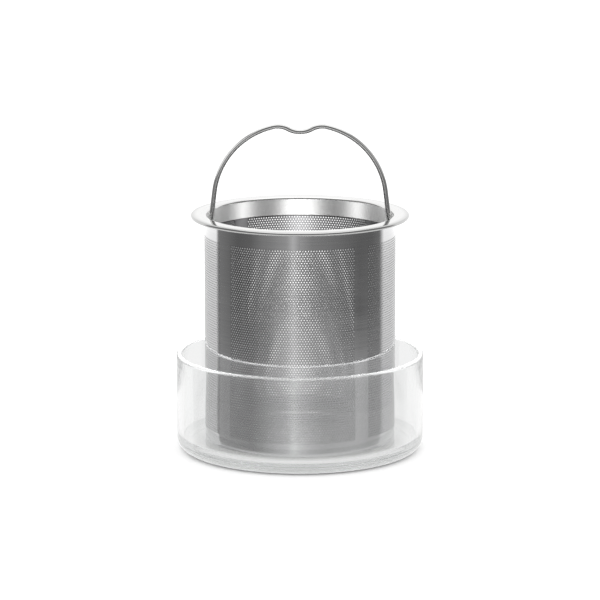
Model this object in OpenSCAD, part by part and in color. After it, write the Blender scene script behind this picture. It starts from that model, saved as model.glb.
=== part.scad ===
// Strainer basket with a folding wire bail, standing in a clear glass drip dish.
// Sizes are in millimetres. The origin is the middle of the dish's underside, Z points up,
// and the bail turns about an axis along X. The basket stands on the dish floor.

/* [Glass dish] */
// clear gap between the basket wall and the inside of the dish
dish_gap = 8.3; // [4:0.1:20]
// thickness of the dish wall, which the lip rounds over
dish_wall = 2.2; // [1.2:0.1:5]
// thickness of the dish floor
dish_floor = 3.8; // [1.5:0.1:8]
// height of the dish from the table to its lip
dish_h = 36.1; // [18:0.1:70]
// outside radius of the corner between wall and underside
dish_corner_r = 5; // [2:0.1:8]
// inside radius of the corner between wall and floor
dish_fillet_r = 3; // [1:0.1:3.5]

/* [Basket] */
// outside diameter of the etched wall
basket_od = 70; // [56:0.5:84]
// height of the basket from its underside to the top of its flange
basket_h = 83.9; // [50:0.1:120]
// thickness of the etched wall sheet
wall_t = 0.4; // [0.3:0.05:0.5]
// thickness of the pressed sheet of the rim and the base
sheet_t = 0.4; // [0.3:0.05:0.6]
// how far the flange stands out past the wall
flange_out = 5; // [3:0.1:9]
// diameter of the bead rolled along the edge of the flange
bead_d = 1.3; // [0.9:0.05:2]
// radius of the bend where the flange turns down into the collar
mouth_r = 0.8; // [0.7:0.05:1.2]
// depth of the collar below the top of the flange
collar_h = 6.8; // [5:0.1:12]
// height of the base pan, whose skirt stands inside the wall
pan_h = 4; // [2.5:0.1:6]
// outside radius of the base pan's bottom corner
pan_corner_r = 1; // [0.7:0.05:2]

/* [Etched holes] */
// spacing of the etched holes along a row
etch_pitch = 1; // [0.8:0.05:1.4]
// diameter of one etched hole
etch_d = 0.5; // [0.3:0.05:0.6]
// one drawn hole stands for a square group of this many etched holes a side, with the same open area
etch_group = 6; // [5:1:10]
// number of perforated fields round the wall
field_count = 4; // [2:1:6]
// width of the plain strip between two fields
strip_w = 6.1; // [4:0.1:12]
// turn of the plain strips about the basket's axis, from the X axis
strip_turn = 39.3; // [0:0.1:90]
// plain border of the wall above the fields, measured from the top of the flange
border_top = 7; // [6:0.1:14]
// plain border of the wall below the fields, measured from the basket's underside
border_bottom = 6.3; // [5:0.1:14]
// diameter of the perforated round in the base pan
base_field_d = 60; // [30:0.5:64]

/* [Bail] */
// diameter of the bail wire
wire_d = 1.8; // [1.4:0.1:2.2]
// depth of the bail's turning axis below the top of the flange
pivot_drop = 2.6; // [2.2:0.1:3.4]
// running clearance all round each wire end in its hole
pivot_play = 0.06; // [0.02:0.01:0.1]
// how far each wire end stops short of the wall's outside, so that nothing catches on a mug's rim
end_in = 0.1; // [0.05:0.05:0.3]
// gap between the collar and the start of the bend at each wire end
end_gap = 0.3; // [0.3:0.05:1]
// centreline radius of the bend at each wire end
end_bend_r = 1.5; // [1.2:0.1:2.5]
// inward lean of the bail's legs
leg_lean = 7; // [3:0.5:10]
// height of the bail's two peaks above its turning axis, to the wire's centreline
bail_h = 34.7; // [32:0.1:40]
// centreline radius of the bail's shoulders
shoulder_r = 27.9; // [26:0.1:29]
// centreline radius of the two peaks
peak_r = 7.5; // [6:0.1:9]
// centreline radius of the finger dip between the peaks
dip_r = 9; // [7:0.1:12]
// distance between the two peaks
peak_span = 16; // [12:0.1:20]

/* [Hidden] */
$fn = 96;
// room left for cutting right through a sheet
cut = 1;

// radii of the basket's nested sheets, from the outside in
wall_or = basket_od / 2;
wall_ir = wall_or - wall_t;
collar_ir = wall_ir - sheet_t;
flange_or = wall_or + flange_out;
mouth_cr = collar_ir + mouth_r;
bead_cr = flange_or - bead_d / 2;

// heights of the basket's pieces above the table
base_z = dish_floor;
flange_z = base_z + basket_h;
pivot_z = flange_z - pivot_drop;
wall_bottom_z = base_z + pan_corner_r;
wall_top_z = flange_z - mouth_r;

// radii of the dish
dish_ir = wall_or + dish_gap;
dish_or = dish_ir + dish_wall;
lip_r = dish_wall / 2;

// drawn hole pattern: rows in a staggered triangle grid
hole_pitch = etch_pitch * etch_group;
hole_d = etch_d * etch_group;
row_pitch = hole_pitch * sqrt(3) / 2;
field_low_z = base_z + border_bottom;
field_h = basket_h - border_top - border_bottom;
field_rows = floor((field_h - hole_d) / row_pitch) + 1;
field_deg = 360 / field_count - strip_w / wall_or * 180 / PI;
field_w = field_deg * PI / 180 * wall_or;
field_cols = floor((field_w - hole_d) / hole_pitch) + 1;
col_deg = hole_pitch / wall_or * 180 / PI;
first_row_z = field_low_z + (field_h - (field_rows - 1) * row_pitch) / 2;
base_rings = floor(base_field_d / 2 / row_pitch);

// where two pieces of the bail meet, one is this much thinner all round and runs this far into the other
seam_step = 0.02;
seam_in = 0.15;

// centreline of one side of the bail, with its turning axis at height 0
pivot_hole_d = wire_d + 2 * pivot_play;
end_x = collar_ir - end_gap;
end_len = wall_or - end_in - end_x;
peak_x = peak_span / 2;
dip_deg = asin(peak_x / (peak_r + dip_r));
peak_c = [peak_x, bail_h - peak_r];
dip_c = [0, peak_c[1] + (peak_r + dip_r) * cos(dip_deg)];
lean_out = [cos(leg_lean), sin(leg_lean)];
lean_up = [-sin(leg_lean), cos(leg_lean)];
leg_low = [end_x - end_bend_r * cos(leg_lean), end_bend_r * (1 - sin(leg_lean))];
// the shoulder arc touches the leg's line at one end and the peak arc at the other
shoulder_turn = asin((lean_out * peak_c + shoulder_r - lean_out * leg_low) / (shoulder_r - peak_r));
peak_start = 90 + leg_lean - shoulder_turn;
shoulder_c = peak_c - (shoulder_r - peak_r) * [cos(peak_start), sin(peak_start)];
leg_len = lean_up * (shoulder_c - leg_low);

// a solid turned about Z from the profile given as children
module turned() {
  rotate_extrude()
    children();
}

// quarter of a sheet bend in profile: centre, outside radius, and the two signs of its quadrant
module sheet_bend(c, r, sx, sy) {
  translate(c)
    intersection() {
      difference() {
        circle(r = r);
        circle(r = r - sheet_t);
      }
      translate([sx < 0 ? -r : 0, sy < 0 ? -r : 0])
        square(r);
    }
}

// both holes of the bail's ends, as one long pin across the basket
module pivot_cut() {
  translate([-wall_or - cut, 0, pivot_z])
    rotate([0, 90, 0])
      cylinder(d = pivot_hole_d, h = basket_od + 2 * cut);
}

// one perforated field of the wall, centred on the X axis
module field_cut() {
  for (j = [0 : field_rows - 1])
    for (i = [0 : field_cols - 1 - j % 2])
      rotate((i - (field_cols - 1 - j % 2) / 2) * col_deg)
        translate([wall_ir - cut, 0, first_row_z + j * row_pitch])
          rotate([0, 90, 0])
            cylinder(d = hole_d, h = wall_t + 2 * cut);
}

// the round of holes in the base pan, with one hole on the basket's axis
module base_cut() {
  for (j = [-base_rings : base_rings])
    for (i = [-2 * base_rings : 2 * base_rings])
      let (x = (i + abs(j) % 2 / 2) * hole_pitch, y = j * row_pitch)
        if (norm([x, y]) <= (base_field_d - hole_d) / 2)
          translate([x, y, base_z - cut])
            cylinder(d = hole_d, h = sheet_t + 2 * cut);
}

// an arc of wire in the bail's plane: centre, radius, start angle and sweep
module wire_arc(c, r, from, sweep, d = wire_d) {
  translate(c)
    rotate(from)
      rotate_extrude(angle = sweep)
        translate([r, 0])
          circle(d = d);
}

// an arc that is drawn slightly thinner and runs a little way into the wire at both its ends
module joined_arc(c, r, from, sweep) {
  more = seam_in / r * 180 / PI;
  wire_arc(c, r, from - more, sweep + 2 * more, wire_d - 2 * seam_step);
}

// one side of the bail in its own plane, from the peak out to the wire's end
module bail_side() {
  wire_arc(peak_c, peak_r, peak_start, 90 + dip_deg - peak_start);
  joined_arc(shoulder_c, shoulder_r, leg_lean, peak_start - leg_lean);
  translate(leg_low)
    rotate([-90, 0, leg_lean])
      cylinder(d = wire_d, h = leg_len);
  joined_arc([end_x, end_bend_r], end_bend_r, 180 + leg_lean, 90 - leg_lean);
  translate([end_x, 0])
    rotate([0, 90, 0])
      cylinder(d = wire_d, h = end_len);
}

// short glass dish, one turned piece with a full round lip and a rounded foot
module glass_dish() {
  color([0.86, 0.92, 0.92, 0.35])
    turned() {
      difference() {
        union() {
          square([dish_or - dish_corner_r, dish_corner_r]);
          translate([dish_or - dish_corner_r, dish_corner_r])
            intersection() {
              circle(r = dish_corner_r);
              translate([0, -dish_corner_r])
                square(dish_corner_r);
            }
          translate([0, dish_corner_r])
            square([dish_or, dish_h - lip_r - dish_corner_r]);
        }
        translate([0, dish_floor])
          square([dish_ir - dish_fillet_r, dish_h]);
        translate([0, dish_floor + dish_fillet_r])
          square([dish_ir, dish_h]);
        translate([dish_ir - dish_fillet_r, dish_floor + dish_fillet_r])
          circle(r = dish_fillet_r);
      }
      translate([dish_ir + lip_r, dish_h - lip_r])
        circle(r = lip_r);
    }
}

// pressed rim: flat flange with a closed bead along its edge, turned down into a collar with the bail's holes
module rim_flange() {
  color([0.82, 0.82, 0.83])
    difference() {
      turned() {
        translate([collar_ir, flange_z - collar_h])
          square([sheet_t, collar_h - mouth_r]);
        sheet_bend([mouth_cr, flange_z - mouth_r], mouth_r, -1, 1);
        translate([mouth_cr, flange_z - sheet_t])
          square([bead_cr - mouth_cr, sheet_t]);
        translate([bead_cr, flange_z - bead_d / 2])
          circle(d = bead_d);
        translate([bead_cr - bead_d / 2, flange_z - bead_d / 2])
          square(bead_d / 2);
      }
      pivot_cut();
    }
}

// rolled wall sheet with its perforated fields, closed round the collar and the base pan
module strainer_wall() {
  color([0.62, 0.63, 0.65])
    difference() {
      turned()
        translate([wall_ir, wall_bottom_z])
          square([wall_t, wall_top_z - wall_bottom_z]);
      pivot_cut();
      for (k = [0 : field_count - 1])
        rotate(strip_turn + (k + 0.5) * 360 / field_count)
          field_cut();
    }
}

// pressed base with a perforated round and a short skirt that closes the wall's lower end
module base_pan() {
  color([0.74, 0.75, 0.76])
    difference() {
      turned() {
        translate([0, base_z])
          square([wall_ir - pan_corner_r, sheet_t]);
        sheet_bend([wall_ir - pan_corner_r, base_z + pan_corner_r], pan_corner_r, 1, -1);
        translate([wall_ir - sheet_t, base_z + pan_corner_r])
          square([sheet_t, pan_h - pan_corner_r]);
      }
      base_cut();
    }
}

// one bent wire with a finger dip, its ends turned out into the holes of the collar and the wall
module bail_handle() {
  color([0.7, 0.7, 0.71])
    translate([0, 0, pivot_z])
      rotate([90, 0, 0]) {
        joined_arc(dip_c, dip_r, 270 - dip_deg, 2 * dip_deg);
        for (side = [0, 180])
          rotate([0, side, 0])
            bail_side();
      }
}

glass_dish();
rim_flange();
strainer_wall();
base_pan();
bail_handle();
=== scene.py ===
import math

import bmesh
import bpy
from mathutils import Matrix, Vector


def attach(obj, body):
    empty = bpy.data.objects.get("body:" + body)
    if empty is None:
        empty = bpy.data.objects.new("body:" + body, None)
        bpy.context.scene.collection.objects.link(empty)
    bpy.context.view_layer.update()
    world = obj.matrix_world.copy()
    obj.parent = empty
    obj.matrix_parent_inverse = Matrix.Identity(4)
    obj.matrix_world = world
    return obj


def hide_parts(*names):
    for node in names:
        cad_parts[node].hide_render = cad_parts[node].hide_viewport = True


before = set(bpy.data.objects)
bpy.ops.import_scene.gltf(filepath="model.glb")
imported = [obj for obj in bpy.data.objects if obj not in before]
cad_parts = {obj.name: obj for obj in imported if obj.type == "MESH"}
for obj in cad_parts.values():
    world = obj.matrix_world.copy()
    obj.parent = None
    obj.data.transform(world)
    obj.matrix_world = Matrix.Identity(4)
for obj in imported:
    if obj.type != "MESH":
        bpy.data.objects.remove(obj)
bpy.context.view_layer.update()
bpy.ops.object.select_all(action="DESELECT")

# Base pan: a round of stainless sheet pressed into a shallow pan, its middle etched with fine holes.
# The satin sheet turns up at a small rounded corner into a skirt, which is welded inside the lower end
# of the wall. It stands a hair above the dish's glass floor.
basket_axis = (0, 0, 0)
wall_r = 0.035
hole_d = 0.0005
hole_sides = 8
holes_round_wall = 220
pitch = 2 * math.pi * wall_r / holes_round_wall
row_pitch = pitch * math.sqrt(3) / 2
weld = 0.00001
dish_floor = 0.0038
standing_gap = 0.00005
pan_low = dish_floor + standing_gap
pan_field_r = 0.0298
pan_border_r = pan_field_r + 1.5 * pitch
pan_border_steps = 160
pan_flat_r = 0.0336
pan_corner_r = 0.00095
pan_corner_steps = 7
pan_skirt_h = 0.003
pan_sheet = 0.0004
sheet_crease_deg = 50


def choose(piece):
    """Selects one piece alone, for the next operator."""
    bpy.ops.object.select_all(action="DESELECT")
    piece.select_set(True)
    bpy.context.view_layer.objects.active = piece


def start_editing(piece):
    """Opens a piece's mesh for editing, point by point."""
    choose(piece)
    bpy.ops.object.mode_set(mode="EDIT")
    bpy.ops.mesh.select_mode(type="VERT")
    return bmesh.from_edit_mesh(piece.data)


def pick(bm, chosen, mode="VERT"):
    """Selects only the chosen vertices, edges or faces, in edit mode."""
    bpy.ops.mesh.select_mode(type=mode)
    bpy.ops.mesh.select_all(action="DESELECT")
    for element in chosen:
        element.select_set(True)
    bm.select_flush_mode()


def close_seams(piece):
    """Merges the points that lie on each other and turns the faces outwards."""
    bpy.ops.mesh.select_all(action="SELECT")
    bpy.ops.mesh.remove_doubles(threshold=weld)
    bpy.ops.mesh.normals_make_consistent(inside=False)
    bmesh.update_edit_mesh(piece.data)


def apply_modifier(piece, name, kind, **settings):
    """Adds a modifier with its settings and makes it part of the mesh."""
    choose(piece)
    modifier = piece.modifiers.new(name, kind)
    for key, value in settings.items():
        setattr(modifier, key, value)
    bpy.ops.object.modifier_apply(modifier=modifier.name)


def smooth(piece, crease_deg):
    """Shades a piece smooth, apart from the edges that turn by more than the crease."""
    choose(piece)
    bpy.ops.object.shade_smooth_by_angle(angle=math.radians(crease_deg))


def etched_rows(name, columns, pairs):
    """A flat etched sheet with straight sides: staggered rows of holes, two rows a pair."""
    hole_middle = (0, 0, 0)
    bpy.ops.object.select_all(action="DESELECT")
    bpy.ops.mesh.primitive_circle_add(vertices=hole_sides, radius=hole_d / 2)
    cell = bpy.context.object
    cell.name = name
    bm = start_editing(cell)
    bpy.ops.mesh.select_all(action="SELECT")
    bpy.ops.mesh.extrude_edges_move(TRANSFORM_OT_translate={"value": (0, 0, 0)})
    bpy.ops.transform.resize(value=(pitch / hole_d, row_pitch / hole_d, 1), center_override=hole_middle)
    corners = [v for v in bm.verts if v.select and min(abs(v.co.x), abs(v.co.y)) > hole_d / 4]
    pick(bm, corners)
    bpy.ops.transform.resize(value=(math.sqrt(2), math.sqrt(2), 1), center_override=hole_middle)
    bpy.ops.mesh.select_all(action="SELECT")
    bpy.ops.transform.translate(value=(pitch / 2, row_pitch / 2, 0))
    bpy.ops.object.mode_set(mode="OBJECT")
    apply_modifier(cell, "along the row", "ARRAY", count=columns, use_relative_offset=False,
                   use_constant_offset=True, constant_offset_displace=(pitch, 0, 0),
                   use_merge_vertices=True, merge_threshold=weld)
    # The second row stands half a pitch on with one hole less, and its ends are filled to straight sides.
    bm = start_editing(cell)
    bpy.ops.mesh.select_all(action="SELECT")
    bpy.ops.mesh.duplicate_move(TRANSFORM_OT_translate={"value": (pitch / 2, row_pitch, 0)})
    second = [f for f in bm.faces if f.select]
    last = [f for f in second if f.calc_center_median().x > (columns - 0.5) * pitch]
    pick(bm, last, "FACE")
    bpy.ops.mesh.delete(type="FACE")
    for edge_x, step in ((pitch / 2, -pitch / 2), ((columns - 0.5) * pitch, pitch / 2)):
        ends = [e for e in bm.edges if e.is_boundary and e.calc_length() > 0.4 * row_pitch
                and all(abs(v.co.x - edge_x) < weld and v.co.y > row_pitch - weld for v in e.verts)]
        pick(bm, ends, "EDGE")
        bpy.ops.mesh.extrude_edges_move(TRANSFORM_OT_translate={"value": (step, 0, 0)})
    close_seams(cell)
    bpy.ops.object.mode_set(mode="OBJECT")
    apply_modifier(cell, "pairs of rows", "ARRAY", count=pairs, use_relative_offset=False,
                   use_constant_offset=True, constant_offset_displace=(0, 2 * row_pitch, 0),
                   use_merge_vertices=True, merge_threshold=weld)
    return cell


pan_columns = 2 * math.ceil(pan_field_r / pitch) + 1
pan_pairs = math.ceil(pan_field_r / row_pitch) + 1
pan = etched_rows("base_pan_etched", pan_columns, pan_pairs)
bm = start_editing(pan)
bpy.ops.mesh.select_all(action="SELECT")
middle_row = pan_pairs if pan_pairs % 2 == 0 else pan_pairs - 1
bpy.ops.transform.translate(value=(-pan_columns / 2 * pitch, -(middle_row + 0.5) * row_pitch, 0))
outside = []
for face in bm.faces:
    at = face.calc_center_median()
    line = round(at.y / row_pitch)
    stagger = 0.5 * (line % 2)
    across = (round(at.x / pitch - stagger) + stagger) * pitch
    if math.hypot(across, line * row_pitch) > pan_field_r or abs(across) > pan_field_r:
        outside.append(face)
pick(bm, outside, "FACE")
bpy.ops.mesh.delete(type="FACE")
bpy.ops.mesh.select_all(action="DESELECT")
bpy.ops.mesh.primitive_circle_add(vertices=pan_border_steps, radius=pan_border_r)
border = [e for e in bm.edges if len(e.link_faces) == 0]
field_edge = [e for e in bm.edges if len(e.link_faces) == 1 and e.calc_length() > 1.5 * hole_d / 2]
pick(bm, border + field_edge, "EDGE")
bpy.ops.mesh.fill(use_beauty=True)
bm.edges.ensure_lookup_table()
border = [e for e in bm.edges if e.is_boundary and min(v.co.xy.length for v in e.verts) > pan_field_r + pitch]
pick(bm, border, "EDGE")
corner_turns = [math.pi / 2 * k / pan_corner_steps for k in range(1, pan_corner_steps + 1)]
path = [(pan_flat_r, 0)]
path += [(pan_flat_r + pan_corner_r * math.sin(t), pan_corner_r * (1 - math.cos(t))) for t in corner_turns]
path += [(pan_flat_r + pan_corner_r, pan_corner_r + pan_skirt_h)]
reach = pan_border_r
height = 0
for radius, z in path:
    bpy.ops.mesh.extrude_edges_move(TRANSFORM_OT_translate={"value": (0, 0, z - height)})
    bpy.ops.transform.resize(value=(radius / reach, radius / reach, 1), center_override=basket_axis)
    reach, height = radius, z
close_seams(pan)
if sum(f.normal.z * f.calc_area() for f in bm.faces) > 0:
    bpy.ops.mesh.flip_normals()
bpy.ops.mesh.select_all(action="SELECT")
bpy.ops.transform.translate(value=(0, 0, pan_low))
bpy.ops.object.mode_set(mode="OBJECT")
apply_modifier(pan, "sheet", "SOLIDIFY", thickness=pan_sheet, offset=-1, use_even_offset=True)
smooth(pan, sheet_crease_deg)


def node_of(tree, kind, **settings):
    made = tree.nodes.new(kind)
    for key, value in settings.items():
        setattr(made, key, value)
    return made


def feed(tree, source, target):
    tree.links.new(source, target)


def math_node(tree, operation, first, second=None):
    made = node_of(tree, "ShaderNodeMath", operation=operation)
    for socket, value in zip(made.inputs, (first, second)):
        if value is None:
            continue
        if isinstance(value, (int, float)):
            socket.default_value = value
        else:
            feed(tree, value, socket)
    return made.outputs[0]


# All but the wire is turned or rolled round one axis, so the marks run round that axis: the group turns the
# place of a point into its length round the axis, its height and its radius.
along_height = "Y"
along_radius = "Z"
round_place = bpy.data.node_groups.new("place round the axis", "ShaderNodeTree")
round_place.interface.new_socket("Place", in_out="OUTPUT", socket_type="NodeSocketVector")
spot = node_of(round_place, "ShaderNodeTexCoord")
split = node_of(round_place, "ShaderNodeSeparateXYZ")
feed(round_place, spot.outputs["Object"], split.inputs[0])
turn = math_node(round_place, "ARCTAN2", split.outputs["X"], split.outputs["Y"])
far = math_node(round_place, "SQRT", math_node(round_place, "ADD",
                math_node(round_place, "MULTIPLY", split.outputs["X"], split.outputs["X"]),
                math_node(round_place, "MULTIPLY", split.outputs["Y"], split.outputs["Y"])))
joined = node_of(round_place, "ShaderNodeCombineXYZ")
feed(round_place, math_node(round_place, "MULTIPLY", turn, wall_r), joined.inputs["X"])
feed(round_place, split.outputs["Z"], joined.inputs[along_height])
feed(round_place, far, joined.inputs[along_radius])
feed(round_place, joined.outputs[0], node_of(round_place, "NodeGroupOutput").inputs["Place"])

# Rolling grain and handling marks of stainless sheet: fine streaks along one direction of the place that
# is given, and soft cloudy smudges that dull the polish.
sheet_marks = bpy.data.node_groups.new("sheet marks", "ShaderNodeTree")
for socket_name, socket_type in (("Place", "NodeSocketVector"), ("Streaks", "NodeSocketVector"),
                                 ("Smudge scale", "NodeSocketFloat")):
    sheet_marks.interface.new_socket(socket_name, in_out="INPUT", socket_type=socket_type)
for socket_name in ("Streak", "Smudge"):
    sheet_marks.interface.new_socket(socket_name, in_out="OUTPUT", socket_type="NodeSocketFloat")
given = node_of(sheet_marks, "NodeGroupInput")
drawn = node_of(sheet_marks, "ShaderNodeVectorMath", operation="MULTIPLY")
feed(sheet_marks, given.outputs["Place"], drawn.inputs[0])
feed(sheet_marks, given.outputs["Streaks"], drawn.inputs[1])
fine = node_of(sheet_marks, "ShaderNodeTexNoise")
fine.inputs["Scale"].default_value = 1
fine.inputs["Detail"].default_value = 3
feed(sheet_marks, drawn.outputs[0], fine.inputs["Vector"])
cloudy = node_of(sheet_marks, "ShaderNodeTexNoise")
cloudy.inputs["Detail"].default_value = 2
feed(sheet_marks, given.outputs["Place"], cloudy.inputs["Vector"])
feed(sheet_marks, given.outputs["Smudge scale"], cloudy.inputs["Scale"])
given_out = node_of(sheet_marks, "NodeGroupOutput")
feed(sheet_marks, fine.outputs["Fac"], given_out.inputs["Streak"])
feed(sheet_marks, cloudy.outputs["Fac"], given_out.inputs["Smudge"])


def steel(name, dark, light, streaks, smooth_to, rough_to, bump, brushed=0):
    """Stainless steel with colour, polish and relief from the sheet marks, brushed round its axis or not."""
    smudge_share = 0.6
    streak_share = 0.4
    made = bpy.data.materials.new(name)
    made.use_nodes = True
    tree = made.node_tree
    shader = tree.nodes["Principled BSDF"]
    shader.inputs["Metallic"].default_value = 1
    place = node_of(tree, "ShaderNodeGroup", node_tree=round_place)
    marks = node_of(tree, "ShaderNodeGroup", node_tree=sheet_marks)
    feed(tree, place.outputs["Place"], marks.inputs["Place"])
    marks.inputs["Streaks"].default_value = streaks
    marks.inputs["Smudge scale"].default_value = 60
    tone = node_of(tree, "ShaderNodeMix", data_type="RGBA")
    tone.inputs["A"].default_value = (*dark, 1)
    tone.inputs["B"].default_value = (*light, 1)
    feed(tree, marks.outputs["Streak"], tone.inputs["Factor"])
    feed(tree, tone.outputs["Result"], shader.inputs["Base Color"])
    polish = node_of(tree, "ShaderNodeMapRange")
    polish.inputs["From Min"].default_value = 0.3
    polish.inputs["From Max"].default_value = 0.7
    polish.inputs["To Min"].default_value = smooth_to
    polish.inputs["To Max"].default_value = rough_to
    marked = math_node(tree, "ADD", math_node(tree, "MULTIPLY", marks.outputs["Smudge"], smudge_share),
                       math_node(tree, "MULTIPLY", marks.outputs["Streak"], streak_share))
    feed(tree, marked, polish.inputs["Value"])
    feed(tree, polish.outputs["Result"], shader.inputs["Roughness"])
    relief = node_of(tree, "ShaderNodeBump")
    relief.inputs["Distance"].default_value = bump
    relief.inputs["Strength"].default_value = 0.5
    feed(tree, marks.outputs["Streak"], relief.inputs["Height"])
    feed(tree, relief.outputs["Normal"], shader.inputs["Normal"])
    if brushed:
        shader.inputs["Anisotropic"].default_value = brushed
        shader.inputs["Anisotropic Rotation"].default_value = 0.25
        grain = node_of(tree, "ShaderNodeTangent", direction_type="RADIAL", axis="Z")
        feed(tree, grain.outputs["Tangent"], shader.inputs["Tangent"])
    return made


pan.data.materials.append(steel("pressed steel", dark=(0.60, 0.60, 0.60), light=(0.70, 0.70, 0.69),
                                streaks=(60, 400, 2500), smooth_to=0.16, rough_to=0.30, bump=0.000002))
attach(pan, "basket")
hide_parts("base_pan")

# Strainer wall: one sheet of bright stainless, etched through with nearly sixteen thousand fine holes in
# four fields between plain strips and borders, satin inside, where painted shade greys it near the collar.
# It is rolled into a tube, with its seam in a plain strip, and welded round the collar above and the pan's
# skirt below.
wall_sheet = 0.0004
wall_low = 0.0048
wall_high = 0.0869
field_columns = 49
strip_columns = 6
field_pairs = 41
field_high = 0.0805
field_low = field_high - 2 * field_pairs * row_pitch
first_field_deg = -5.7
field_step_deg = 90
pivot_z = 0.0851
pivot_hole_r = 0.00096
pivot_hole_sides = 32
drill_length = 2.4 * wall_r
rolling_streaks = (40, 2600, 300)
rolling_relief = 0.0000015
inside_shade_from_z = 0.067
inside_shade_full_z = 0.0745
inside_shade_tint = (0.45, 0.45, 0.46)
etched_steel = steel("etched steel", dark=(0.62, 0.62, 0.63), light=(0.70, 0.70, 0.70),
                     streaks=rolling_streaks, smooth_to=0.05, rough_to=0.11, bump=rolling_relief)
field_steel = steel("etched field steel", dark=(0.56, 0.56, 0.57), light=(0.64, 0.64, 0.64),
                    streaks=rolling_streaks, smooth_to=0.05, rough_to=0.11, bump=rolling_relief)
satin_inside = steel("etched steel inside", dark=(0.42, 0.42, 0.42), light=(0.52, 0.52, 0.52),
                     streaks=rolling_streaks, smooth_to=0.46, rough_to=0.54, bump=rolling_relief, brushed=0.9)


def share_along(tree, along, start, full):
    """0 up to one height or radius of a piece, rising to 1 at another."""
    place = node_of(tree, "ShaderNodeGroup", node_tree=round_place)
    split = node_of(tree, "ShaderNodeSeparateXYZ")
    feed(tree, place.outputs["Place"], split.inputs[0])
    share = node_of(tree, "ShaderNodeMapRange", interpolation_type="SMOOTHSTEP")
    share.inputs["From Min"].default_value = start
    share.inputs["From Max"].default_value = full
    feed(tree, split.outputs[along], share.inputs["Value"])
    return share.outputs["Result"]


def paint_shade_from(metal, along, start, full, tint):
    """Paints shade into a steel's colour, greying it from one height or radius to another."""
    tree = metal.node_tree
    shader = tree.nodes["Principled BSDF"]
    unshaded_tone = shader.inputs["Base Color"].links[0].from_socket
    tone = node_of(tree, "ShaderNodeMix", data_type="RGBA", blend_type="MULTIPLY")
    tone.inputs["B"].default_value = (*tint, 1)
    feed(tree, share_along(tree, along, start, full), tone.inputs["Factor"])
    feed(tree, unshaded_tone, tone.inputs["A"])
    feed(tree, tone.outputs["Result"], shader.inputs["Base Color"])


# Painted shade: the satin inside is greyed from one height up to the collar.
paint_shade_from(satin_inside, along_height, inside_shade_from_z, inside_shade_full_z, inside_shade_tint)


def rolled(piece, width, outside):
    """Stands a flat sheet up, rolls it round the axis with its middle in front, and gives it thickness."""
    bm = start_editing(piece)
    for vert in bm.verts:
        vert.co = (vert.co.x, 0, vert.co.y)
    bmesh.update_edit_mesh(piece.data)
    bpy.ops.object.mode_set(mode="OBJECT")
    apply_modifier(piece, "roll", "SIMPLE_DEFORM", deform_method="BEND", deform_axis="Z",
                   angle=width / wall_r)
    bm = start_editing(piece)
    bpy.ops.mesh.select_all(action="SELECT")
    bpy.ops.transform.translate(value=(0, -wall_r, 0))
    close_seams(piece)
    if sum(f.normal.dot(f.calc_center_median().xy.to_3d()) for f in bm.faces) < 0:
        bpy.ops.mesh.flip_normals()
    bpy.ops.object.mode_set(mode="OBJECT")
    piece.data.materials.append(outside)
    piece.data.materials.append(satin_inside)
    apply_modifier(piece, "sheet", "SOLIDIFY", thickness=wall_sheet, offset=-1, use_even_offset=True,
                   material_offset=1)
    smooth(piece, sheet_crease_deg)


field_w = field_columns * pitch
front_field = etched_rows("etched_field_front", field_columns, field_pairs)
start_editing(front_field)
bpy.ops.mesh.select_all(action="SELECT")
bpy.ops.transform.translate(value=(-field_w / 2, field_low, 0))
bpy.ops.object.mode_set(mode="OBJECT")
rolled(front_field, field_w, field_steel)
fields = [front_field]
for side in ("right", "back", "left"):
    choose(front_field)
    bpy.ops.object.duplicate(linked=False)
    fields.append(bpy.context.object)
    fields[-1].name = "etched_field_" + side
for number, piece in enumerate(fields):
    choose(piece)
    piece.rotation_euler.z = math.radians(first_field_deg + number * field_step_deg)
    bpy.ops.object.transform_apply(location=True, rotation=True, scale=True)
    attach(piece, "basket")
    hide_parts("strainer_wall")

sheet_w = holes_round_wall * pitch
bpy.ops.object.select_all(action="DESELECT")
bpy.ops.mesh.primitive_grid_add(x_subdivisions=2 * holes_round_wall, y_subdivisions=3, size=1)
plain = bpy.context.object
plain.name = "plain_sheet"
bm = start_editing(plain)
levels = sorted({round(v.co.y, 4) for v in bm.verts})
heights = dict(zip(levels, (wall_low, field_low, field_high, wall_high)))
for vert in bm.verts:
    vert.co = (vert.co.x * sheet_w, heights[round(vert.co.y, 4)], 0)
cut_out = []
for face in bm.faces:
    at = face.calc_center_median()
    column = (at.x + sheet_w / 2) / pitch
    within = (column - strip_columns / 2) % (field_columns + strip_columns)
    if field_low < at.y < field_high and within < field_columns:
        cut_out.append(face)
pick(bm, cut_out, "FACE")
bpy.ops.mesh.delete(type="FACE")
bpy.ops.object.mode_set(mode="OBJECT")
rolled(plain, sheet_w, etched_steel)
plain.rotation_euler.z = math.radians(first_field_deg + field_step_deg / 2)
bpy.ops.object.transform_apply(location=True, rotation=True, scale=True)


def bail_holes(piece):
    """Drills the two holes that the ends of the bail turn in."""
    bpy.ops.object.select_all(action="DESELECT")
    bpy.ops.mesh.primitive_cylinder_add(vertices=pivot_hole_sides, radius=pivot_hole_r, depth=drill_length,
                                        location=(0, 0, pivot_z), rotation=(0, math.pi / 2, 0))
    drill = bpy.context.object
    bpy.ops.object.transform_apply(location=True, rotation=True, scale=True)
    apply_modifier(piece, "drill", "BOOLEAN", object=drill, operation="DIFFERENCE", solver="EXACT")
    bpy.data.objects.remove(drill)


bail_holes(plain)
smooth(plain, sheet_crease_deg)
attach(plain, "basket")
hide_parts("strainer_wall")
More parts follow.
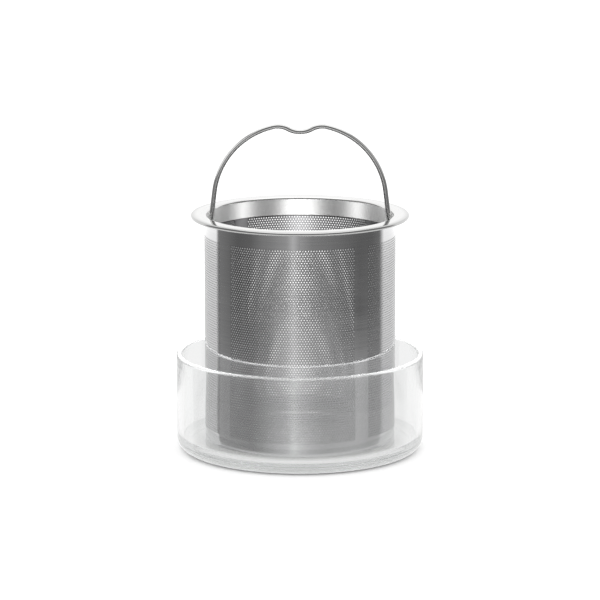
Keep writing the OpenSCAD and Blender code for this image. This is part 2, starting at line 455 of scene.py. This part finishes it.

# Rim: a ring of polished stainless sheet, pressed into a flat flange with a rolled bead along its edge, where
# it is greyed with painted shade, and drawn down into a brushed collar. The wall is welded round the collar,
# and the bail's ends turn in two holes.
collar_low = 0.0809
collar_r = 0.0342
rim_sheet = 0.0004
rim_high = 0.0877
mouth_r = 0.0008
bead_r = 0.00065
bead_at = 0.03935
cut_edge = 0.0001
rim_steps = 256
rim_crease_deg = 35
polishing_streaks = (30, 1500, 1500)
polishing_relief = 0.000001
edge_shade_w = 0.002
edge_shade_tint = (0.68, 0.68, 0.68)


def arc(at, radius, start_deg, end_deg, steps):
    """Points along an arc of a profile, as (radius from the axis, height)."""
    turns = [math.radians(start_deg + (end_deg - start_deg) * k / steps) for k in range(steps + 1)]
    return [(at[0] + radius * math.cos(t), at[1] + radius * math.sin(t)) for t in turns]


def turned(name, outline, steps):
    """Draws a profile point by point, closes it if it's clear of the axis, and spins it round the axis."""
    bpy.ops.object.select_all(action="DESELECT")
    bpy.ops.mesh.primitive_plane_add(size=weld)
    piece = bpy.context.object
    piece.name = name
    bm = start_editing(piece)
    bpy.ops.mesh.select_all(action="SELECT")
    bpy.ops.mesh.merge(type="CENTER")
    bpy.ops.transform.translate(value=(outline[0][0], 0, outline[0][1]))
    for here, there in zip(outline, outline[1:]):
        step = (there[0] - here[0], 0, there[1] - here[1])
        bpy.ops.mesh.extrude_vertices_move(TRANSFORM_OT_translate={"value": step})
    ends = [v for v in bm.verts if len(v.link_edges) == 1]
    if all(v.co.x > weld for v in ends):
        pick(bm, ends)
        bpy.ops.mesh.edge_face_add()
    bpy.ops.mesh.select_all(action="SELECT")
    bpy.ops.mesh.spin(steps=steps, angle=2 * math.pi, center=basket_axis, axis=(0, 0, 1))
    close_seams(piece)
    bpy.ops.object.mode_set(mode="OBJECT")
    return piece


bend_low = rim_high - mouth_r
collar_out_r = collar_r + rim_sheet
collar_outline = [(collar_r + cut_edge, collar_low), (collar_r, collar_low + cut_edge), (collar_r, bend_low),
                  (collar_out_r, bend_low), (collar_out_r, collar_low + cut_edge),
                  (collar_out_r - cut_edge, collar_low)]
collar = turned("rim_collar", collar_outline, rim_steps)
bail_holes(collar)
smooth(collar, rim_crease_deg)
collar.data.materials.clear()
collar.data.materials.append(steel("brushed collar", dark=(0.86, 0.86, 0.86), light=(0.92, 0.92, 0.91),
                                   streaks=polishing_streaks, smooth_to=0.50, rough_to=0.58,
                                   bump=polishing_relief, brushed=0.9))
mouth_at = (collar_r + mouth_r, bend_low)
flange_outline = arc(mouth_at, mouth_r, 180, 90, steps=10)
flange_outline += arc((bead_at, rim_high - bead_r), bead_r, 90, -180, steps=26)
flange_outline += [(bead_at - bead_r, rim_high - rim_sheet)]
flange_outline += arc(mouth_at, mouth_r - rim_sheet, 90, 180, steps=6)
flange = turned("rim_flange_ring", flange_outline, rim_steps)
smooth(flange, rim_crease_deg)
polished = steel("polished flange", dark=(0.74, 0.74, 0.74), light=(0.80, 0.80, 0.79),
                 streaks=polishing_streaks, smooth_to=0.07, rough_to=0.13, bump=polishing_relief)
# Painted shade: the bead's edge is greyed.
paint_shade_from(polished, along_radius, bead_at - edge_shade_w, bead_at + bead_r, edge_shade_tint)
flange.data.materials.append(polished)
for piece in (collar, flange):
    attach(piece, "basket")
    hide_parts("rim_flange")

# Bail: one length of drawn stainless wire, bent to an arch with a finger dip between two peaks. Its ends are
# turned out into the holes of the collar and the wall, where they turn. One side is bent and then mirrored.
wire_r = 0.0009
wire_sides = 24
wire_crease_deg = 40
end_in = 0.0001
end_gap = 0.0003
end_round = 0.00018
end_bend_r = 0.0015
lean = math.radians(7)
bail_h = 0.0347
shoulder_r = 0.0279
peak_r = 0.0075
peak_span = 0.016
dip_r = 0.009
wire_end_x = wall_r - end_in
out_of_leg = Vector((math.cos(lean), 0, math.sin(lean)))
up_the_leg = Vector((-math.sin(lean), 0, math.cos(lean)))
end_bend_at = Vector((collar_r - end_gap, 0, pivot_z + end_bend_r))
peak_at = Vector((peak_span / 2, 0, pivot_z + bail_h - peak_r))
dip_turn = math.asin(peak_span / 2 / (peak_r + dip_r))
dip_at = Vector((0, 0, peak_at.z + (peak_r + dip_r) * math.cos(dip_turn)))
# The shoulder runs on smoothly from the leg into the peak, so its middle lies one shoulder in from the leg,
# and as far from the middle of the peak as the two radii differ.
beside_leg = end_bend_at - (end_bend_r + shoulder_r) * out_of_leg
to_peak = peak_at - beside_leg
leg_length = to_peak.dot(up_the_leg) - math.sqrt((shoulder_r - peak_r) ** 2 - to_peak.dot(out_of_leg) ** 2)
shoulder_at = beside_leg + leg_length * up_the_leg
shoulder_end = math.atan2(peak_at.z - shoulder_at.z, peak_at.x - shoulder_at.x)
bpy.ops.object.select_all(action="DESELECT")
bpy.ops.mesh.primitive_circle_add(vertices=wire_sides, radius=wire_r, fill_type="NGON",
                                  location=(wire_end_x, 0, pivot_z), rotation=(0, math.pi / 2, 0))
bail = bpy.context.object
bail.name = "bail_wire"
bpy.ops.object.transform_apply(location=True, rotation=True, scale=True)
bm = start_editing(bail)
pick(bm, bm.edges[:], "EDGE")
bpy.ops.mesh.extrude_edges_move(TRANSFORM_OT_translate={"value": (end_bend_at.x - wire_end_x, 0, 0)})


def bend(at, turn, steps):
    """Bends the wire on round a centre, counterclockwise as the camera sees it."""
    bpy.ops.mesh.spin(steps=steps, angle=turn, center=tuple(at), axis=(0, 1, 0))


bend(end_bend_at, lean - math.pi / 2, steps=10)
bpy.ops.mesh.extrude_edges_move(TRANSFORM_OT_translate={"value": tuple(leg_length * up_the_leg)})
bend(shoulder_at, shoulder_end - lean, steps=40)
bend(peak_at, math.pi / 2 + dip_turn - shoulder_end, steps=16)
bend(dip_at, -dip_turn, steps=12)
for vert in bm.verts:
    if vert.select:
        vert.co.x = 0
cap = [e for f in bm.faces if len(f.verts) > 4 for e in f.edges]
pick(bm, cap, "EDGE")
bpy.ops.mesh.bevel(offset=end_round, segments=3, affect="EDGES")
close_seams(bail)
bpy.ops.object.mode_set(mode="OBJECT")
apply_modifier(bail, "other side", "MIRROR", use_axis=(True, False, False), use_mirror_merge=True,
               merge_threshold=weld)
start_editing(bail)
close_seams(bail)
bpy.ops.object.mode_set(mode="OBJECT")
smooth(bail, wire_crease_deg)
bail.data.materials.append(steel("wire steel", dark=(0.58, 0.58, 0.58), light=(0.68, 0.68, 0.67),
                                 streaks=(900, 60, 900), smooth_to=0.09, rough_to=0.17, bump=0.000002))
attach(bail, "bail")
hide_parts("bail_handle")

# Glass dish: one piece of clear glass with a full round lip, a thick flat base greyed on the outside with
# painted shade, and rounded corners inside and out. The basket stands loose in it.
dish_r = 0.0455
dish_in_r = 0.0433
dish_h = 0.0361
dish_corner = 0.005
dish_fillet = 0.003
lip_r = (dish_r - dish_in_r) / 2
base_stop_r = 0.02
wall_stop_z = 0.02
dish_steps = 512
dish_crease_deg = 35
dish_outline = [(0, 0), (base_stop_r, 0)]
dish_outline += arc((dish_r - dish_corner, dish_corner), dish_corner, -90, 0, steps=16)
dish_outline += [(dish_r, wall_stop_z)]
dish_outline += arc((dish_r - lip_r, dish_h - lip_r), lip_r, 0, 180, steps=20)
dish_outline += [(dish_in_r, wall_stop_z)]
dish_outline += arc((dish_in_r - dish_fillet, dish_floor + dish_fillet), dish_fillet, 0, -90, steps=12)
dish_outline += [(base_stop_r, dish_floor), (0, dish_floor)]
dish = turned("glass_drip_dish", dish_outline, dish_steps)
smooth(dish, dish_crease_deg)
clear_glass = bpy.data.materials.new("clear glass")
clear_glass.use_nodes = True
tree = clear_glass.node_tree
shader = tree.nodes["Principled BSDF"]
shader.inputs["Transmission Weight"].default_value = 1
shader.inputs["IOR"].default_value = 1.47
shader.inputs["Roughness"].default_value = 0
spot = node_of(tree, "ShaderNodeTexCoord")
wave = node_of(tree, "ShaderNodeTexNoise")
wave.inputs["Scale"].default_value = 45
wave.inputs["Detail"].default_value = 1
feed(tree, spot.outputs["Object"], wave.inputs["Vector"])
ripple = node_of(tree, "ShaderNodeBump")
ripple.inputs["Strength"].default_value = 0.1
ripple.inputs["Distance"].default_value = 0.0001
feed(tree, wave.outputs["Fac"], ripple.inputs["Height"])
feed(tree, ripple.outputs["Normal"], shader.inputs["Normal"])
tint = node_of(tree, "ShaderNodeMix", data_type="RGBA")
tint.inputs["A"].default_value = (0.985, 0.992, 0.99, 1)
tint.inputs["B"].default_value = (1, 1, 1, 1)
feed(tree, wave.outputs["Fac"], tint.inputs["Factor"])
# Painted shade greys the thick base on its outer skin and its underside, up to about the height of the
# floor inside.
near_base = share_along(tree, along_height, 0.0050, 0.0040)
outer_skin = share_along(tree, along_radius, 0.0436, 0.0443)
underside = share_along(tree, along_height, 0.0032, 0.0026)
foot_shade_share = math_node(tree, "MULTIPLY", near_base, math_node(tree, "MAXIMUM", outer_skin, underside))
foot_shade = node_of(tree, "ShaderNodeMix", data_type="RGBA")
foot_shade.inputs["B"].default_value = (0.75, 0.76, 0.755, 1)
feed(tree, foot_shade_share, foot_shade.inputs["Factor"])
feed(tree, tint.outputs["Result"], foot_shade.inputs["A"])
feed(tree, foot_shade.outputs["Result"], shader.inputs["Base Color"])
depth = node_of(tree, "ShaderNodeVolumeAbsorption")
depth.inputs["Color"].default_value = (0, 0.03, 0.02, 1)
depth.inputs["Density"].default_value = 2
feed(tree, depth.outputs["Volume"], tree.nodes["Material Output"].inputs["Volume"])
dish.data.materials.append(clear_glass)
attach(dish, "dish")
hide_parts("glass_dish")

# Floor: a plain pale floor that runs off white; its glow fades out round the dish's foot as a painted
# contact shadow. The steel doesn't mirror it, and it isn't seen through the glass.
floor_w = 12
floor_z = -0.0002
bpy.ops.object.select_all(action="DESELECT")
bpy.ops.mesh.primitive_plane_add(size=floor_w, location=(0, 0, floor_z))
floor = bpy.context.object
floor.name = "studio_floor"
bpy.ops.object.transform_apply(location=True, rotation=True, scale=True)


def glowing(name, base, start_r, full_r, glow_in, glow_out):
    """A matt floor whose own glow goes from one strength to another with the distance from the middle."""
    made = bpy.data.materials.new(name)
    made.use_nodes = True
    tree = made.node_tree
    shader = tree.nodes["Principled BSDF"]
    shader.inputs["Base Color"].default_value = base
    shader.inputs["Specular IOR Level"].default_value = 0
    shader.inputs["Emission Color"].default_value = (1, 1, 1, 1)
    spot = node_of(tree, "ShaderNodeTexCoord")
    far = node_of(tree, "ShaderNodeVectorMath", operation="LENGTH")
    feed(tree, spot.outputs["Object"], far.inputs[0])
    fade = node_of(tree, "ShaderNodeMapRange", interpolation_type="SMOOTHSTEP")
    fade.inputs["From Min"].default_value = start_r
    fade.inputs["From Max"].default_value = full_r
    fade.inputs["To Min"].default_value = glow_in
    fade.inputs["To Max"].default_value = glow_out
    feed(tree, far.outputs["Value"], fade.inputs["Value"])
    feed(tree, fade.outputs["Result"], shader.inputs["Emission Strength"])
    return made


# Painted contact shadow: the floor's glow is taken away round the dish's foot.
pale = glowing("pale floor", base=(0.8, 0.8, 0.8, 1), start_r=0.0400, full_r=0.0450, glow_in=0, glow_out=0.4)
pale.node_tree.nodes["Principled BSDF"].inputs["Roughness"].default_value = 0.9
floor.data.materials.append(pale)
floor.visible_glossy = False
floor.visible_transmission = False

# Floor in shade: a disc just above the floor, seen through the glass alone, for the shaded floor under the
# dish. It is greyest under the basket.
shade_r = 0.0395
shade_z = -0.0001
shade_steps = 64
bpy.ops.object.select_all(action="DESELECT")
bpy.ops.mesh.primitive_circle_add(vertices=shade_steps, radius=shade_r, fill_type="NGON",
                                  location=(0, 0, shade_z))
shade = bpy.context.object
shade.name = "floor_in_shade"
bpy.ops.object.transform_apply(location=True, rotation=True, scale=True)
shade.data.materials.append(glowing("floor in shade", base=(0, 0, 0, 1), start_r=0.033, full_r=0.0394,
                                    glow_in=0.68, glow_out=0.9))
shade.visible_glossy = False
shade.visible_camera = False
shade.visible_diffuse = False
shade.visible_shadow = False

# Sky: soft studio light for the steel to mirror, bright behind and overhead and grey round the camera. The
# wall mirrors a narrow band below the horizon: its foot sees the low greys there, and its top the high ones.
sky = bpy.data.worlds.new("soft studio")
bpy.context.scene.world = sky
sky.use_nodes = True
sky.cycles.sampling_method = "NONE"
sky_tree = sky.node_tree
sky_spot = node_of(sky_tree, "ShaderNodeTexCoord")
sky_way = node_of(sky_tree, "ShaderNodeSeparateXYZ")
feed(sky_tree, sky_spot.outputs["Generated"], sky_way.inputs[0])


def sky_math(operation, first, second=None):
    return math_node(sky_tree, operation, first, second)


def grey(level):
    return (level, level, level, 1)


compass = sky_math("ARCTAN2", sky_way.outputs["X"], sky_math("MULTIPLY", sky_way.outputs["Y"], -1))
compass = sky_math("ADD", sky_math("DIVIDE", compass, 2 * math.pi), 0.5)


def round_sky(stops):
    """Greys round the horizon, each at its degrees to the right of the camera's direction."""
    ramp = node_of(sky_tree, "ShaderNodeValToRGB")
    feed(sky_tree, compass, ramp.inputs["Fac"])
    colours = ramp.color_ramp
    while len(colours.elements) > 1:
        colours.elements.remove(colours.elements[-1])
    for number, (degrees, level) in enumerate(stops):
        place = degrees / 360 + 0.5
        stop = colours.elements[0] if number == 0 else colours.elements.new(place)
        stop.position = place
        stop.color = grey(level)
    return ramp.outputs["Color"]


def before_bright_back(glow, stops):
    """Greys of the front, between the bright sky that goes on behind the object."""
    return [(-180, 0.75), (-166, glow), (-121, glow), *stops, (121, glow), (166, glow), (180, 0.75)]


high_sky = round_sky([(-180, 1.1), (-121, 1.1), (-112, 0.3), (-70, 0.25), (0, 0.18), (70, 0.25), (112, 0.3),
                      (121, 1.1), (180, 1.1)])
far_front = [(-116, 0.24), (-100, 0.20), (-80, 0.13), (-62, 0.15), (-46, 0.25), (-30, 0.30), (-16, 0.38),
             (-8, 0.60), (0, 0.38), (14, 0.24), (30, 0.22), (45, 0.20), (76, 0.14)]
far_sky = round_sky(before_bright_back(0.98, [*far_front, (95, 0.17), (112, 0.23)]))
top_sky = round_sky(before_bright_back(1.4, [*far_front, (95, 0.10), (112, 0.16)]))
near_sky = round_sky(before_bright_back(0.98, [
    (-116, 0.28), (-80, 0.18), (-38, 0.26), (-30, 0.50), (-8, 0.66), (0, 0.52), (34, 0.46), (44, 0.30),
    (76, 0.14), (97, 0.24), (112, 0.27)]))
low_sky = round_sky(before_bright_back(0.98, [
    (-116, 0.42), (-100, 0.38), (-80, 0.36), (-62, 0.30), (-46, 0.40), (-30, 0.58), (-16, 0.70), (-7, 0.95),
    (0, 0.80), (14, 0.62), (30, 0.54), (59, 0.58), (76, 0.60), (95, 0.50), (112, 0.55)]))


def rise(low_deg, high_deg):
    """0 below one height of the sky, 1 above another."""
    step = node_of(sky_tree, "ShaderNodeMapRange", interpolation_type="SMOOTHSTEP")
    step.inputs["From Min"].default_value = math.sin(math.radians(low_deg))
    step.inputs["From Max"].default_value = math.sin(math.radians(high_deg))
    feed(sky_tree, sky_way.outputs["Z"], step.inputs["Value"])
    return step.outputs["Result"]


def blend_sky(share, low, high):
    """One sky where the share is 0 and another where it is 1."""
    mix = node_of(sky_tree, "ShaderNodeMix", data_type="RGBA")
    feed(sky_tree, share, mix.inputs["Factor"])
    for socket, value in (("A", low), ("B", high)):
        if isinstance(value, tuple):
            mix.inputs[socket].default_value = value
        else:
            feed(sky_tree, value, mix.inputs[socket])
    return mix.outputs["Result"]


ray = node_of(sky_tree, "ShaderNodeLightPath")
left_glass_last = ray.outputs["Is Singular Ray"]
mirrored = blend_sky(rise(-12.9, -12.4), low_sky, near_sky)
mirrored = blend_sky(rise(-12.15, -11.75), mirrored, far_sky)
mirrored = blend_sky(sky_math("MAXIMUM", rise(-26, -18), left_glass_last), grey(1), mirrored)
mirrored = blend_sky(rise(-10.7, -10.5), mirrored, top_sky)
mirrored = blend_sky(rise(-8, -4), mirrored, high_sky)
mirrored = blend_sky(rise(50, 58), mirrored, grey(1.5))
# Light that leaves the glass last meets a plain sky, apart from a low window in front, where it meets what
# the steel mirrors. What the bare glass mirrors overhead is brighter.
front_turn = 0.33
in_front = sky_math("LESS_THAN", sky_math("ABSOLUTE", sky_math("SUBTRACT", compass, 0.5)), front_turn)
in_front = sky_math("MULTIPLY", in_front, sky_math("SUBTRACT", rise(-40, -30), rise(-10, -8)))
one_mirror = sky_math("LESS_THAN", ray.outputs["Glossy Depth"], 1.5)
off_glass = sky_math("MULTIPLY", left_glass_last,
                     sky_math("SUBTRACT", 1, sky_math("MULTIPLY", in_front, one_mirror)))
off_steel = sky_math("MULTIPLY", sky_math("MINIMUM", ray.outputs["Glossy Depth"], 1),
                     sky_math("SUBTRACT", 1, off_glass))
through_glass = sky_math("MINIMUM", ray.outputs["Transmission Depth"], 1)
seen = blend_sky(off_steel, blend_sky(through_glass, grey(1.15), grey(0.9)), mirrored)
bare_glass = sky_math("MULTIPLY", off_glass, sky_math("SUBTRACT", 1, through_glass))
bare_glass = sky_math("MULTIPLY", bare_glass, rise(0, 25))
seen = blend_sky(bare_glass, seen, grey(6))
feed(sky_tree, seen, sky_tree.nodes["Background"].inputs["Color"])

# Soft boxes: one in front for the inside of the basket, four for its back field, one at each side for the
# collar and the plain sheet, and one at each side for the wire. Each shines on its own pieces alone, and all
# of them leave the glass as the sky lights it.
soft_far = 1.2
soft_h = 0.9


def lit_pieces(name, *pieces):
    """A group of pieces that a soft box shines on alone."""
    group = bpy.data.collections.new(name)
    for piece in pieces:
        group.objects.link(piece)
    return group


right_field, back_field, left_field = fields[1:]
inside_sheet = lit_pieces("inside sheet", collar, plain, pan, right_field, left_field)
back_sheet = lit_pieces("back field", back_field)
collar_sheet = lit_pieces("collar sheet", collar, plain)
wire = lit_pieces("wire", bail)
for side_deg, up_deg, wide_deg, glow, lit in ((0, 27, 46, 6.0, inside_sheet),
                                              (0, 27, 24, 8, back_sheet),
                                              (0, 55, 46, 22, back_sheet),
                                              (-62, 55, 60, 6, back_sheet),
                                              (62, 55, 60, 6, back_sheet),
                                              (-79, 27, 15, 7.0, collar_sheet),
                                              (79, 27, 15, 7.0, collar_sheet),
                                              (-70, 27, 90, 0.8, wire),
                                              (70, 27, 90, 0.3, wire)):
    soft = bpy.data.lights.new("soft box", "AREA")
    soft.shape = "RECTANGLE"
    soft.size = 2 * soft_far * math.tan(math.radians(wide_deg / 2))
    soft.size_y = soft_h
    soft.energy = glow * math.pi * soft.size * soft.size_y
    box = bpy.data.objects.new("soft box", soft)
    bpy.context.scene.collection.objects.link(box)
    box.location = (soft_far * math.sin(math.radians(side_deg)), -soft_far * math.cos(math.radians(side_deg)),
                    rim_high + soft_far * math.tan(math.radians(up_deg)))
    box.rotation_euler = (math.radians(90 - up_deg), 0, math.radians(side_deg))
    box.visible_camera = False
    box.visible_transmission = False
    box.light_linking.receiver_collection = lit

# Camera: a long lens on the front, a little above the rim, as the photo was taken. Light may turn many times
# between the walls of the glass and the basket before it is given up.
look_at = (0, 0, 0.0553)
camera_far = 1.35406
camera_up = math.radians(11.602)
lens = bpy.data.cameras.new("camera")
lens.sensor_width = 36
lens.lens = 221.16
lens.clip_start = 0.05
camera = bpy.data.objects.new("camera", lens)
bpy.context.scene.collection.objects.link(camera)
camera.location = (look_at[0], look_at[1] - camera_far * math.cos(camera_up),
                   look_at[2] + camera_far * math.sin(camera_up))
camera.rotation_euler = (math.pi / 2 - camera_up, 0, 0)
bpy.context.scene.camera = camera
bpy.context.scene.view_settings.view_transform = "Standard"
bpy.context.scene.cycles.max_bounces = 100
bpy.context.scene.cycles.glossy_bounces = 70
bpy.context.scene.cycles.transmission_bounces = 100
